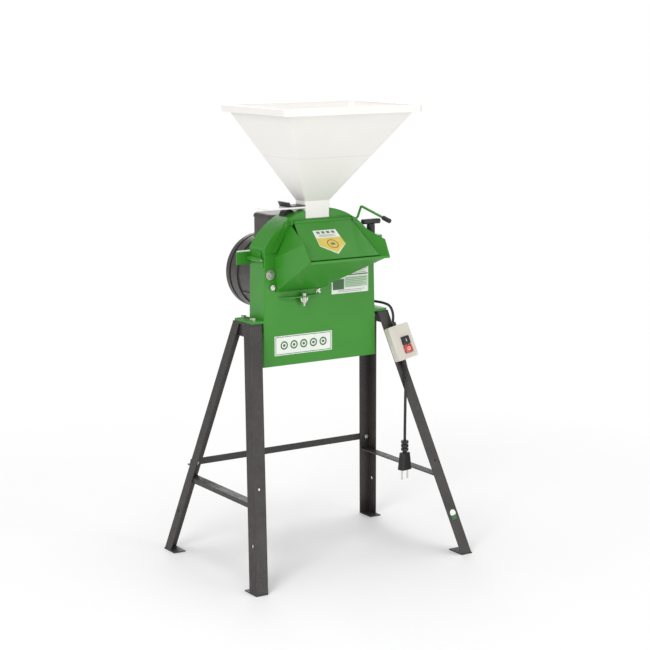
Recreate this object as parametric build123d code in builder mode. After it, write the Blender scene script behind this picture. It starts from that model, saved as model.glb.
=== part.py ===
from build123d import *
import math
import os

# Forage chopper and hammer mill on an angle-steel stand. Millimetres, +Z up, front faces -Y.

os.makedirs("parts", exist_ok=True)

# ---- driving dimensions ---------------------------------------------------
SHEET = 3.0            # body sheet thickness
CORNER_R = 2.0         # outside corner of the folded sheet
Z_STAND = 600.0        # top of the stand
ANGLE = 32.0           # leg angle flange
ANGLE_T = 3.0
FOOT_X = 314.0         # outer corner of a foot, across
FOOT_Y_FRONT = -256.5
FOOT_Y_BACK = 203.5
TOP_X = 201.0          # outer corner of a leg at its top
TOP_Y_FRONT = -46.5
TOP_Y_BACK = 37.5
PAD_DEPTH = 54.0
BRACE_Z = 196.0
BAR_Z = 222.0
BAR_BOLT_Z = 230.7

Y_FRONT = -44.5        # outer face of the front plate
Y_BACK = 23.5          # outer face of the back plate
SEAM_Z = 768.0         # joint between lower housing and cover
AXIS_Z = 685.0         # rotor and motor axis
ARC_R = 186.0          # cover arc radius
COVER_X = 159.0        # half width of the cover
BASE_TOP_X = 158.0
BASE_LOW_X = 164.0
SKIRT_Z = 491.0

SCREEN_R = 150.0
TIP_R = 138.0          # hammer tip radius
PIN_R = 75.0           # radius of the hammer pins' circle

HINGE_X = -166.0       # cover hinge axis
HINGE_Z = 753.0
KNUCKLE_R = 4.6
FLAP_Y = -52.5         # flap hinge axis
FLAP_Z = 839.3
KNOB_X = 172.0
KNOB_Y = -10.5

NECK_X = -6.5          # hopper neck centre
NECK_Y = -20.5
RIM_Y = -61.4
RIM_W = 386.0
RIM_D = 304.0
RIM_Z = 1120.0

MOTOR_R = 93.0
MOTOR_END = 256.5

CORD_D = 7.0


# ---- helpers --------------------------------------------------------------
def save(part, name):
    part.label = name
    export_step(part, "parts/" + name + ".step")


def block(x0, x1, y0, y1, z0, z1, mode=Mode.ADD):
    with Locations(((x0 + x1) / 2, (y0 + y1) / 2, (z0 + z1) / 2)):
        Box(x1 - x0, y1 - y0, z1 - z0, mode=mode)


def rod_y(x, z, r, y0, y1, mode=Mode.ADD):
    with Locations(Location((x, (y0 + y1) / 2, z), (90, 0, 0))):
        Cylinder(r, y1 - y0, mode=mode)


def rod_z(x, y, r, z0, z1, mode=Mode.ADD):
    with Locations((x, y, (z0 + z1) / 2)):
        Cylinder(r, z1 - z0, mode=mode)


def rod_x(y, z, r, x0, x1, mode=Mode.ADD):
    with Locations(Location(((x0 + x1) / 2, y, z), (0, 90, 0))):
        Cylinder(r, x1 - x0, mode=mode)


def xz(y):
    return Plane.XZ.offset(-y)


def radial_plane(x, y, z, deg):
    turn = math.radians(deg)
    return Plane(origin=(x, y, z), x_dir=(math.cos(turn), 0, math.sin(turn)), z_dir=(0, -1, 0))


def leg_x(z):
    return FOOT_X + (TOP_X - FOOT_X) * z / Z_STAND


def leg_y(z, back):
    foot = FOOT_Y_BACK if back else FOOT_Y_FRONT
    top = TOP_Y_BACK if back else TOP_Y_FRONT
    return foot + (top - foot) * z / Z_STAND


def base_x(z):
    return BASE_LOW_X + (BASE_TOP_X - BASE_LOW_X) * (z - SKIRT_Z) / (SEAM_Z - SKIRT_Z)


def plate(points, inside, thickness):
    face = Face(Wire.make_polygon([Vector(*p) for p in points], close=True))
    normal = face.normal_at(face.center())
    if (Vector(*inside) - face.center()).dot(normal) < 0:
        normal = -normal
    return extrude(face, amount=thickness, dir=normal)


# ---- stand ----------------------------------------------------------------
BAR_BOLT_X = leg_x(BAR_BOLT_Z) - 15
EAR_BOLTS = [(-178.0, -19.0), (-178.0, 24.0), (178.0, -19.0), (178.0, 24.0)]


def angle_outline(sx, sy, corner_x, corner_y):
    pts = [(0, 0), (ANGLE, 0), (ANGLE, ANGLE_T), (ANGLE_T, ANGLE_T), (ANGLE_T, ANGLE), (0, ANGLE)]
    Polygon(*[(corner_x - sx * px, corner_y - sy * py) for px, py in pts], align=None)


def make_leg(name, sx, sy):
    back = sy > 0
    z_top = Z_STAND - ANGLE_T
    with BuildPart() as leg:
        with BuildSketch(Plane.XY):
            angle_outline(sx, sy, sx * leg_x(0), leg_y(0, back))
        with BuildSketch(Plane.XY.offset(z_top)):
            angle_outline(sx, sy, sx * leg_x(z_top), leg_y(z_top, back))
        loft(ruled=True)
        outer = leg.edges().sort_by_distance((sx * leg_x(300), leg_y(300, back), 300))[0]
        fillet(outer, 2.8)
        fx = sx * FOOT_X
        fy = leg_y(0, back)
        x0, x1 = sorted((fx, fx - sx * ANGLE))
        y0, y1 = sorted((fy, fy - sy * PAD_DEPTH))
        block(x0, x1, y0, y1, 0, ANGLE_T)
        hole_y = leg_y(BAR_BOLT_Z, back)
        rod_y(sx * BAR_BOLT_X, BAR_BOLT_Z, 3.2, hole_y - 12, hole_y + 12, Mode.SUBTRACT)
        axle_z = 106.0
        axle_y = leg_y(axle_z, back) - sy * 14
        ax = sx * leg_x(axle_z)
        rod_x(axle_y, axle_z, 4.5, min(ax - 10, ax + 10), max(ax - 10, ax + 10), Mode.SUBTRACT)
    save(leg.part, name)


make_leg("leg_front_left", -1, -1)
make_leg("leg_front_right", 1, -1)
make_leg("leg_back_left", -1, 1)
make_leg("leg_back_right", 1, 1)

def add_top_rail(sx):
    x_out = sx * TOP_X
    x_in = sx * (TOP_X - ANGLE)
    block(min(x_out, x_in), max(x_out, x_in), TOP_Y_FRONT, TOP_Y_BACK, Z_STAND - ANGLE_T, Z_STAND)
    xa, xb = sorted((sx * (TOP_X - 3.3), sx * (TOP_X - 6.3)))
    block(xa, xb, TOP_Y_FRONT + 4, TOP_Y_BACK - 4, Z_STAND - 34, Z_STAND - ANGLE_T)


with BuildPart() as top_rails:
    for sx in (-1, 1):
        add_top_rail(sx)
    for bx, by in EAR_BOLTS:
        rod_z(bx, by, 4.3, Z_STAND - 10, Z_STAND + 10, Mode.SUBTRACT)
save(top_rails.part, "top_rails")

with BuildPart() as side_braces:
    y0 = leg_y(BRACE_Z, False) + ANGLE_T + 0.5
    y1 = leg_y(BRACE_Z, True) - ANGLE_T - 0.5
    for sx in (-1, 1):
        x_out = sx * (leg_x(BRACE_Z) - ANGLE_T - 0.2)
        x_in = x_out - sx * 25
        x_lip = x_out - sx * ANGLE_T
        block(min(x_out, x_in), max(x_out, x_in), y0, y1, BRACE_Z - ANGLE_T, BRACE_Z)
        block(min(x_out, x_lip), max(x_out, x_lip), y0, y1, BRACE_Z - 12, BRACE_Z - ANGLE_T)
save(side_braces.part, "side_braces")

with BuildPart() as rear_bar:
    half = leg_x(BAR_Z + 9) - 2
    for z in (BAR_Z, BAR_Z + 18):
        with BuildSketch(Plane.XY.offset(z)):
            with Locations((0, leg_y(z, True) + 1.5)):
                Rectangle(2 * half, 3.0)
    loft(ruled=True)
    block(-half, half, leg_y(BAR_Z, True) + 1, leg_y(BAR_Z, True) + 14, BAR_Z, BAR_Z + 3)
    for sx in (-1, 1):
        rod_y(sx * BAR_BOLT_X, BAR_BOLT_Z, 3.2, 120, 200, Mode.SUBTRACT)
save(rear_bar.part, "rear_cross_bar")

EAR_Z = 600.0
EAR_T = 6.0

with BuildPart() as stand_bolts:
    y_in = leg_y(BAR_BOLT_Z, True) - ANGLE_T
    for sx in (-1, 1):
        with BuildSketch(xz(y_in - 1.7)):
            with Locations((sx * BAR_BOLT_X, BAR_BOLT_Z)):
                RegularPolygon(5.6, 6)
        extrude(amount=4.0)
        rod_y(sx * BAR_BOLT_X, BAR_BOLT_Z, 3.0, y_in - 2.0, y_in + 15)
    for bx, by in EAR_BOLTS:
        with BuildSketch(Plane.XY.offset(EAR_Z + EAR_T)):
            with Locations((bx, by)):
                RegularPolygon(7.5, 6)
        extrude(amount=5.5)
        rod_z(bx, by, 4.0, EAR_Z - 16, EAR_Z + EAR_T + 1)
save(stand_bolts.part, "stand_bolts")

with BuildPart() as stand_nuts:
    for sx in (-1, 1):
        with BuildSketch(xz(y_in + 12.6)):
            with Locations((sx * BAR_BOLT_X, BAR_BOLT_Z)):
                RegularPolygon(5.6, 6)
                Circle(3.02, mode=Mode.SUBTRACT)
        extrude(amount=4.6)
    for bx, by in EAR_BOLTS:
        with BuildSketch(Plane.XY.offset(EAR_Z - 10.5)):
            with Locations((bx, by)):
                RegularPolygon(7.5, 6)
                Circle(4.02, mode=Mode.SUBTRACT)
        extrude(amount=6.5)
save(stand_nuts.part, "stand_nuts")

# ---- lower housing --------------------------------------------------------
INTAKE_X0 = -112.0
INTAKE_X1 = -14.0
INTAKE_Z0 = 690.0
INTAKE_Z1 = 800.0
LEDGE_Z = 657.0
CATCH_X = -54.5
CATCH_Y = -56.5
PANEL_BOLT = (-143.0, 717.0)
KNIFE_BOLT = (-138.0, 686.0)
MOTOR_BOLT_R = 62.0

with BuildPart() as base_housing:
    with BuildSketch(xz(Y_BACK)):
        with BuildLine():
            Polyline(
                (-BASE_LOW_X, SKIRT_Z),
                (BASE_LOW_X, SKIRT_Z),
                (BASE_TOP_X, SEAM_Z - 0.4),
                (-BASE_TOP_X, SEAM_Z - 0.4),
                close=True,
            )
        make_face()
    extrude(amount=Y_BACK - Y_FRONT)
    uprights = [e for e in base_housing.edges() if abs(e.center().Z - (SKIRT_Z + SEAM_Z) / 2) < 5]
    fillet([e for e in uprights if e.center().Y < Y_FRONT + 1], CORNER_R)
    with BuildSketch(xz(Y_BACK - SHEET)):
        with BuildLine():
            Polyline(
                (-BASE_LOW_X + SHEET, SKIRT_Z - 1),
                (BASE_LOW_X - SHEET, SKIRT_Z - 1),
                (BASE_TOP_X - SHEET, SEAM_Z + 1),
                (-BASE_TOP_X + SHEET, SEAM_Z + 1),
                close=True,
            )
        make_face()
    extrude(amount=Y_BACK - Y_FRONT - 2 * SHEET, mode=Mode.SUBTRACT)
    block(INTAKE_X0, INTAKE_X1, Y_FRONT - 1, Y_FRONT + SHEET + 1, INTAKE_Z0, SEAM_Z + 5, Mode.SUBTRACT)
    rod_y(0, AXIS_Z, 32, Y_BACK - 10, Y_BACK + 10, Mode.SUBTRACT)
    for k in range(4):
        ang = math.radians(45 + 90 * k)
        bx = MOTOR_BOLT_R * math.cos(ang)
        bz = AXIS_Z + MOTOR_BOLT_R * math.sin(ang)
        rod_y(bx, bz, 3.3, Y_BACK - 10, Y_BACK + 10, Mode.SUBTRACT)
    block(-180, 180, Y_FRONT + 22, Y_BACK + 1, SKIRT_Z - 1, 520, Mode.SUBTRACT)
    for sx in (-1, 1):
        xa, xb = sorted((sx * (base_x(EAR_Z + 3) - 1.0), sx * 197.0))
        block(xa, xb, Y_FRONT, 35.0, EAR_Z, EAR_Z + EAR_T)
        xa, xb = sorted((sx * 153.5, sx * (base_x(682) - 1.0)))
        block(xa, xb, Y_FRONT + 1, Y_BACK - 1, 678.0, 684.0)
    for bx, by in EAR_BOLTS:
        rod_z(bx, by, 4.3, EAR_Z - 10, EAR_Z + 20, Mode.SUBTRACT)
    with BuildSketch(Plane.XY.offset(LEDGE_Z)):
        with BuildLine():
            Polyline(
                (-126, Y_FRONT + 1),
                (-97, Y_FRONT - 17),
                (-40, Y_FRONT - 17),
                (-2, Y_FRONT + 1),
                close=True,
            )
        make_face()
    extrude(amount=SHEET)
    rod_z(CATCH_X, CATCH_Y, 3.3, LEDGE_Z - 5, LEDGE_Z + 10, Mode.SUBTRACT)
    for bx, bz in (PANEL_BOLT, KNIFE_BOLT):
        rod_y(bx, bz, 4.2, Y_FRONT - 1, Y_FRONT + SHEET + 1, Mode.SUBTRACT)
    block(-158, -150, Y_BACK - 1, Y_BACK + 3, 738, 764)
    block(-196, -150, Y_BACK + 0.5, Y_BACK + 3.5, 737, 766)
    with BuildSketch(Plane.XY.offset(765)):
        with BuildLine():
            Polyline(
                (-196, Y_BACK + 0.5),
                (-153, Y_BACK + 0.5),
                (-143, Y_BACK + 25),
                (-182, Y_BACK + 23),
                close=True,
            )
        make_face()
    extrude(amount=3)
    block(-161.0, -base_x(742) + 1.0, -41.0, 18.0, 734, 747)
    for y0, y1 in ((-41.0, -31.5), (8.5, 18.0)):
        block(HINGE_X, -base_x(753) + 1.0, y0, y1, HINGE_Z - KNUCKLE_R, HINGE_Z)
        rod_y(HINGE_X, HINGE_Z, KNUCKLE_R, y0, y1)
        rod_y(HINGE_X, HINGE_Z, 3.06, y0 - 1, y1 + 1, Mode.SUBTRACT)
save(base_housing.part, "lower_housing")

with BuildPart() as clamp_bracket:
    block(base_x(752) + 0.05, 192, KNOB_Y - 15, KNOB_Y + 15, 752, 756)
    with BuildSketch(Plane.XY.offset(744)):
        with Locations((KNOB_X, KNOB_Y)):
            RegularPolygon(9.5, 6)
    extrude(amount=9)
    rod_z(KNOB_X, KNOB_Y, 4.2, 740, 770, Mode.SUBTRACT)
save(clamp_bracket.part, "clamp_bracket")

with BuildPart() as panel_bolts:
    for (bx, bz), head_r, wash in ((PANEL_BOLT, 6.2, 2.6), (KNIFE_BOLT, 7.5, 0.0)):
        with BuildSketch(xz(Y_FRONT - wash)):
            with Locations((bx, bz)):
                RegularPolygon(head_r, 6)
        extrude(amount=5.3)
        rod_y(bx, bz, 4.0, Y_FRONT - 3, Y_FRONT + 12)
    with BuildSketch(xz(Y_FRONT)):
        with Locations(PANEL_BOLT):
            Circle(12.5)
            Circle(4.05, mode=Mode.SUBTRACT)
    extrude(amount=2.5)
save(panel_bolts.part, "counter_knife_bolts")

with BuildPart() as counter_knife:
    block(-148.5, -131, Y_FRONT + SHEET, Y_FRONT + SHEET + 4.0, 679, 730)
    block(-132, -116, Y_FRONT + SHEET, Y_FRONT + SHEET + 2.4, 690, 730)
    for bx, bz in (PANEL_BOLT, KNIFE_BOLT):
        rod_y(bx, bz, 4.02, Y_FRONT, Y_FRONT + 20, Mode.SUBTRACT)
save(counter_knife.part, "counter_knife")

with BuildPart() as catch_bolt:
    with BuildSketch(Plane.XY.offset(LEDGE_Z + SHEET)):
        with Locations((CATCH_X, CATCH_Y)):
            Circle(5.6)
    extrude(amount=7.5)
    fillet(catch_bolt.faces().sort_by(Axis.Z)[-1].edges(), 2.0)
    rod_z(CATCH_X, CATCH_Y, 3.0, LEDGE_Z - 22, LEDGE_Z + SHEET + 1)
save(catch_bolt.part, "catch_bolt")

with BuildPart() as wing_nut:
    rod_z(CATCH_X, CATCH_Y, 6.0, LEDGE_Z - 14.3, LEDGE_Z - 0.4)
    for sx in (-1, 1):
        with BuildSketch(xz(CATCH_Y + 1.5)):
            with BuildLine():
                Polyline(
                    (CATCH_X + sx * 4, LEDGE_Z - 13),
                    (CATCH_X + sx * 8, LEDGE_Z - 11),
                    (CATCH_X + sx * 11.2, LEDGE_Z - 3),
                    (CATCH_X + sx * 8.5, LEDGE_Z - 1),
                    (CATCH_X + sx * 4, LEDGE_Z - 5),
                    close=True,
                )
            make_face()
        extrude(amount=3)
    rod_z(CATCH_X, CATCH_Y, 3.06, LEDGE_Z - 30, LEDGE_Z + 5, Mode.SUBTRACT)
save(wing_nut.part, "wing_nut")

# ---- screen ---------------------------------------------------------------
SCREEN_Y0 = Y_FRONT + SHEET + 1.0
SCREEN_Y1 = Y_BACK - SHEET - 1.0

with BuildPart() as screen:
    with BuildSketch(xz(SCREEN_Y1)):
        with Locations((0, AXIS_Z)):
            Circle(SCREEN_R + 3)
            Circle(SCREEN_R, mode=Mode.SUBTRACT)
        with Locations((0, AXIS_Z + 100)):
            Rectangle(400, 200, mode=Mode.SUBTRACT)
    extrude(amount=SCREEN_Y1 - SCREEN_Y0)
    for row in range(4):
        y = SCREEN_Y0 + 10.5 + row * 13.0
        for k in range(23):
            ang = 188.0 + k * 7.4 + (row % 2) * 3.7
            if ang < 353:
                ca = math.cos(math.radians(ang))
                sa = math.sin(math.radians(ang))
                at = Location(((SCREEN_R + 1.5) * ca, y, AXIS_Z + (SCREEN_R + 1.5) * sa), (0, 90 - ang, 0))
                with Locations(at):
                    Cylinder(3.5, 10, mode=Mode.SUBTRACT)
    for sx in (-1, 1):
        xa, xb = sorted((sx * SCREEN_R, sx * 156.3))
        block(xa, xb, SCREEN_Y0, SCREEN_Y1, AXIS_Z - 1.0, AXIS_Z + 2.0)
save(screen.part, "screen")

# ---- rotor ----------------------------------------------------------------
FRONT_DISC = (-31.0, -26.0)
REAR_DISC = (9.0, 14.0)
PIN_DEG = [45.0, 135.0, 225.0, 315.0]
HAMMER_Y = [-21.0, -8.5, 4.0]
HAMMER_T = 5.0


def pin_at(deg, radius=PIN_R):
    return radius * math.cos(math.radians(deg)), AXIS_Z + radius * math.sin(math.radians(deg))


with BuildPart() as rotor_discs:
    for y0, y1 in (FRONT_DISC, REAR_DISC):
        rod_y(0, AXIS_Z, 92, y0, y1)
    rod_y(0, AXIS_Z, 28, FRONT_DISC[0], REAR_DISC[1] + 3)
    rod_y(0, AXIS_Z, 12.02, -80, 80, Mode.SUBTRACT)
    for deg in PIN_DEG:
        px, pz = pin_at(deg)
        rod_y(px, pz, 6.04, -80, 80, Mode.SUBTRACT)
    for deg in (0, 180):
        for rr in (42.0, 66.0):
            px, pz = pin_at(deg, rr)
            rod_y(px, pz, 3.05, -80, 0, Mode.SUBTRACT)
save(rotor_discs.part, "rotor_discs")

with BuildPart() as hammer_pins:
    for deg in PIN_DEG:
        px, pz = pin_at(deg)
        rod_y(px, pz, 6.0, FRONT_DISC[0] - 2.0, REAR_DISC[1] + 2.0)
    edges = [FRONT_DISC[1]]
    for yc in HAMMER_Y:
        edges += [yc - HAMMER_T / 2, yc + HAMMER_T / 2]
    edges += [REAR_DISC[0]]
    for deg in PIN_DEG:
        px, pz = pin_at(deg)
        for k in range(0, len(edges), 2):
            lo = edges[k] + (0.0 if k == 0 else 0.35)
            hi = edges[k + 1] - (0.0 if k == len(edges) - 2 else 0.35)
            if hi - lo > 1.0:
                rod_y(px, pz, 9.5, lo, hi)
save(hammer_pins.part, "hammer_pins")


def make_hammers(name, deg):
    with BuildPart() as hammers:
        px, pz = pin_at(deg)
        for yc in HAMMER_Y:
            plane = Plane(origin=(px, yc + HAMMER_T / 2, pz), x_dir=(0, 0, -1), z_dir=(0, -1, 0))
            with BuildSketch(plane):
                with Locations(((TIP_R - PIN_R - 13) / 2, 0)):
                    Rectangle(TIP_R - PIN_R + 13, 30)
                Circle(6.07, mode=Mode.SUBTRACT)
            extrude(amount=HAMMER_T)
    save(hammers.part, name)


for index, deg in enumerate(PIN_DEG):
    make_hammers("hammers_" + "abcd"[index], deg)

with BuildPart() as knives:
    for sx in (-1, 1):
        with BuildSketch(xz(FRONT_DISC[0])):
            with BuildLine():
                Polyline(
                    (sx * 31, AXIS_Z - sx * 12),
                    (sx * 132, AXIS_Z - sx * 12),
                    (sx * 132, AXIS_Z + sx * 14),
                    (sx * 31, AXIS_Z + sx * 14),
                    close=True,
                )
            make_face()
            with Locations((sx * 42, AXIS_Z), (sx * 66, AXIS_Z)):
                Circle(3.05, mode=Mode.SUBTRACT)
        extrude(amount=5.0)
    long_edges = knives.edges().filter_by(Axis.X).group_by(Axis.Y)[0]
    chamfer(long_edges, 3.5)
    for deg in (0, 180):
        for rr in (42.0, 66.0):
            px, pz = pin_at(deg, rr)
            rod_y(px, pz, 3.0, FRONT_DISC[0] - 5.02, FRONT_DISC[1] + 2)
            rod_y(px, pz, 5.0, FRONT_DISC[0] - 8.0, FRONT_DISC[0] - 5.02)
save(knives.part, "chopping_knives")

with BuildPart() as rotor_nut:
    with BuildSketch(xz(FRONT_DISC[0] - 2)):
        with Locations((0, AXIS_Z)):
            RegularPolygon(13.5, 6)
    extrude(amount=6.0)
    rod_y(0, AXIS_Z, 20, FRONT_DISC[0] - 2, FRONT_DISC[0])
    rod_y(0, AXIS_Z, 8.02, -80, 0, Mode.SUBTRACT)
save(rotor_nut.part, "rotor_nut")

with BuildPart() as motor_shaft:
    rod_y(0, AXIS_Z, 8.0, FRONT_DISC[0] - 9.0, -24.0)
    rod_y(0, AXIS_Z, 12.0, FRONT_DISC[0] + 0.2, 24.0)
    rod_y(0, AXIS_Z, 14.0, 24.0, 200.0)
    rod_y(0, AXIS_Z, 10.0, 200.0, 240.0)
save(motor_shaft.part, "motor_shaft")

# ---- motor ----------------------------------------------------------------
with BuildPart() as endshield:
    rod_y(0, AXIS_Z, 78, Y_BACK + 0.0, Y_BACK + 8)
    rod_y(0, AXIS_Z, 60, Y_BACK + 8, Y_BACK + 26)
    rod_y(0, AXIS_Z, MOTOR_R, Y_BACK + 26, Y_BACK + 34)
    rod_y(0, AXIS_Z, 26.02, Y_BACK - 5, Y_BACK + 22, Mode.SUBTRACT)
    rod_y(0, AXIS_Z, 18, Y_BACK - 5, Y_BACK + 60, Mode.SUBTRACT)
    for k in range(4):
        bx, bz = pin_at(45 + 90 * k, MOTOR_BOLT_R)
        rod_y(bx, bz, 3.02, Y_BACK - 5, Y_BACK + 10, Mode.SUBTRACT)
    for k in range(8):
        ang = 22.5 + 45 * k
        bx, bz = pin_at(ang, 84)
        rod_y(bx, bz, 5.5, Y_BACK + 20, Y_BACK + 40, Mode.SUBTRACT)
save(endshield.part, "motor_endshield")

with BuildPart() as flange_bolts:
    for k in range(4):
        bx, bz = pin_at(45 + 90 * k, MOTOR_BOLT_R)
        rod_y(bx, bz, 3.0, Y_BACK - SHEET - 0.5, Y_BACK + 8)
        rod_y(bx, bz, 5.5, Y_BACK - SHEET - 3.5, Y_BACK - SHEET)
save(flange_bolts.part, "motor_flange_bolts")

STATOR_Y0 = Y_BACK + 34.0
STATOR_Y1 = 198.0
with BuildPart() as stator_shell:
    rod_y(0, AXIS_Z, MOTOR_R, STATOR_Y0, STATOR_Y1)
    rod_y(0, AXIS_Z, MOTOR_R - 6, STATOR_Y0 - 1, STATOR_Y1 + 1, Mode.SUBTRACT)
    for k in range(3):
        ang = 210 + 60 * k
        plane = radial_plane(0, STATOR_Y1 - 8, AXIS_Z, ang)
        with BuildSketch(plane):
            with Locations((MOTOR_R + 0.6, 0)):
                Rectangle(3.2, 9)
        extrude(amount=STATOR_Y1 - STATOR_Y0 - 16)
save(stator_shell.part, "stator_shell")

with BuildPart() as winding:
    rod_y(0, AXIS_Z, MOTOR_R - 6.05, 78, 172)
    rod_y(0, AXIS_Z, 72, 64, 186)
    rod_y(0, AXIS_Z, 46, 50, 200, Mode.SUBTRACT)
save(winding.part, "stator_core")

with BuildPart() as rotor_core:
    rod_y(0, AXIS_Z, 45, 80, 170)
    rod_y(0, AXIS_Z, 14.02, 50, 200, Mode.SUBTRACT)
save(rotor_core.part, "motor_rotor_core")

with BuildPart() as bearings:
    for y0, y1 in ((Y_BACK + 4, Y_BACK + 19), (200.5, 212.5)):
        shaft_r = 14.06 if y0 < 100 else 10.06
        rod_y(0, AXIS_Z, 26.0, y0, y1)
        rod_y(0, AXIS_Z, 19.5, y0 - 0.1, y0 + 0.8, Mode.SUBTRACT)
        rod_y(0, AXIS_Z, shaft_r, y0 - 1, y1 + 1, Mode.SUBTRACT)
save(bearings.part, "motor_bearings")

with BuildPart() as rear_bell:
    rod_y(0, AXIS_Z, 96.5, STATOR_Y1, 228.5)
    rod_y(0, AXIS_Z, 88, STATOR_Y1 - 1, 218, Mode.SUBTRACT)
    rod_y(0, AXIS_Z, 34, 200.0, 219)
    rod_y(0, AXIS_Z, 26.02, 199, 213, Mode.SUBTRACT)
    rod_y(0, AXIS_Z, 18, 190, 230, Mode.SUBTRACT)
    chamfer(rear_bell.edges().filter_by(GeomType.CIRCLE).sort_by(Axis.Y)[0:1], 0.5)
save(rear_bell.part, "motor_rear_bell")

with BuildPart() as fan_cover:
    rod_y(0, AXIS_Z, 91.5, 228.5, 237.0)
    rod_y(0, AXIS_Z, 96.5, 236.5, MOTOR_END)
    rod_y(0, AXIS_Z, 88, 228, MOTOR_END - 3, Mode.SUBTRACT)
    fillet(fan_cover.faces().sort_by(Axis.Y)[-1].edges().sort_by(SortBy.RADIUS)[-1:], 5.0)
    for k in range(24):
        ang = 15 * k
        px, pz = pin_at(ang, 62)
        with BuildSketch(radial_plane(px, MOTOR_END + 1, pz, ang)):
            SlotOverall(34, 5)
        extrude(amount=8, mode=Mode.SUBTRACT)
save(fan_cover.part, "fan_cover")

with BuildPart() as fan:
    rod_y(0, AXIS_Z, 18, 230.5, 240)
    rod_y(0, AXIS_Z, 78, 230.5, 232.5)
    for k in range(6):
        ang = 60 * k
        plane = radial_plane(0, 249, AXIS_Z, ang)
        with BuildSketch(plane):
            with Locations((47, 0)):
                Rectangle(62, 2.5)
        extrude(amount=17.5)
    rod_y(0, AXIS_Z, 10.02, 220, 260, Mode.SUBTRACT)
save(fan.part, "cooling_fan")

BOX_X = 61.0
with BuildPart() as terminal_box:
    block(-BOX_X + 2, BOX_X - 2, 84, 185, 772, 832)
    fillet(terminal_box.edges().filter_by(Axis.Z), 18)
    with BuildSketch(Plane.XY.offset(776)):
        with Locations((0, 134.5)):
            RectangleRounded(2 * BOX_X - 10, 95, 15)
    extrude(amount=64, mode=Mode.SUBTRACT)
    block(-48, 48, 92, 177, 760, 776)
    rod_y(0, AXIS_Z, MOTOR_R + 0.05, 60, 200, Mode.SUBTRACT)
    rod_x(150, 800, 6.5, BOX_X - 20, BOX_X + 10, Mode.SUBTRACT)
save(terminal_box.part, "terminal_box")

with BuildPart() as terminal_lid:
    block(-BOX_X, BOX_X, 82, 187, 832, 843.5)
    fillet(terminal_lid.edges().filter_by(Axis.Z), 20)
    fillet(terminal_lid.faces().sort_by(Axis.Z)[-1].edges(), 10.0)
    with BuildSketch(Plane.XY.offset(831)):
        with Locations((0, 134.5)):
            RectangleRounded(2 * BOX_X - 16, 89, 13)
    extrude(amount=8, mode=Mode.SUBTRACT)
save(terminal_lid.part, "terminal_box_lid")

# ---- cover ----------------------------------------------------------------
def arc_outline(x_half, radius, z_low):
    with Locations((0, AXIS_Z)):
        Circle(radius)
    with Locations((0, z_low + radius)):
        Rectangle(2 * x_half, 2 * radius, mode=Mode.INTERSECT)


with BuildPart() as cover:
    with BuildSketch(xz(Y_BACK)):
        arc_outline(COVER_X, ARC_R, SEAM_Z)
    extrude(amount=Y_BACK - Y_FRONT)
    front_rim = cover.faces().sort_by(Axis.Y)[0].edges()
    fillet([e for e in front_rim if e.center().Z > SEAM_Z + 1], CORNER_R)
    with BuildSketch(xz(Y_BACK - SHEET)):
        arc_outline(COVER_X - SHEET, ARC_R - SHEET, SEAM_Z - 5)
    extrude(amount=Y_BACK - Y_FRONT - 2 * SHEET, mode=Mode.SUBTRACT)
    block(NECK_X - 36, NECK_X + 36, Y_FRONT - 1, NECK_Y + 24.6, 846, 880, Mode.SUBTRACT)
    block(INTAKE_X0, INTAKE_X1, Y_FRONT - 1, Y_FRONT + SHEET + 1, SEAM_Z - 5, INTAKE_Z1, Mode.SUBTRACT)
    block(COVER_X - 1, 198, KNOB_Y - 16, KNOB_Y + 16, 783, 789)
    rod_z(KNOB_X, KNOB_Y, 4.4, 770, 800, Mode.SUBTRACT)
    fillet(cover.edges().filter_by(Axis.Z).sort_by(Axis.X)[-2:], 6)
    block(-161.5, -COVER_X + 0.5, -31.0, 8.0, 769, 774)
    block(-161.5, -COVER_X - 0.1, -31.0, 8.0, HINGE_Z + 1, 770)
    rod_y(HINGE_X, HINGE_Z, KNUCKLE_R, -31.0, 8.0)
    block(HINGE_X, -COVER_X - 0.1, -31.0, 8.0, HINGE_Z + 1, HINGE_Z + KNUCKLE_R)
    rod_y(HINGE_X, HINGE_Z, 3.06, -32, 9, Mode.SUBTRACT)
save(cover.part, "top_cover")

with BuildPart() as hinge_pin:
    rod_y(HINGE_X, HINGE_Z, 3.0, -42.0, 19.0)
save(hinge_pin.part, "cover_hinge_pin")

# ---- forage feed funnel ---------------------------------------------------
FUN_Y = Y_FRONT - 0.5
TB_L = (-86, FUN_Y, 836)
TB_R = (86, FUN_Y, 836)
S_L = (-129.5, FUN_Y, 757)
BB_L = (-128.5, FUN_Y, 673)
BB_R = (0, FUN_Y, 673)
L_L = (-113, FUN_Y - 135, 759)
L_R = (113, FUN_Y - 135, 759)


def on_plane(a, b, c, y, z):
    n = (Vector(*b) - Vector(*a)).cross(Vector(*c) - Vector(*a))
    x = a[0] - (n.Y * (y - a[1]) + n.Z * (z - a[2])) / n.X
    return (x, y, z)


M_L = on_plane(S_L, BB_L, L_L, FUN_Y - 110, 800)
M_R = on_plane(TB_R, L_R, BB_R, FUN_Y - 107, 796)
INNER = (0, FUN_Y - 70, 765)
wall_upper_left = plate([TB_L, S_L, M_L], INNER, 2.0)
wall_left = plate([S_L, BB_L, L_L, M_L], INNER, 2.0)
wall_right = plate([TB_R, BB_R, L_R, M_R], INNER, 2.0)
wall_bottom = plate([L_L, L_R, BB_R, BB_L], INNER, 2.0)

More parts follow.
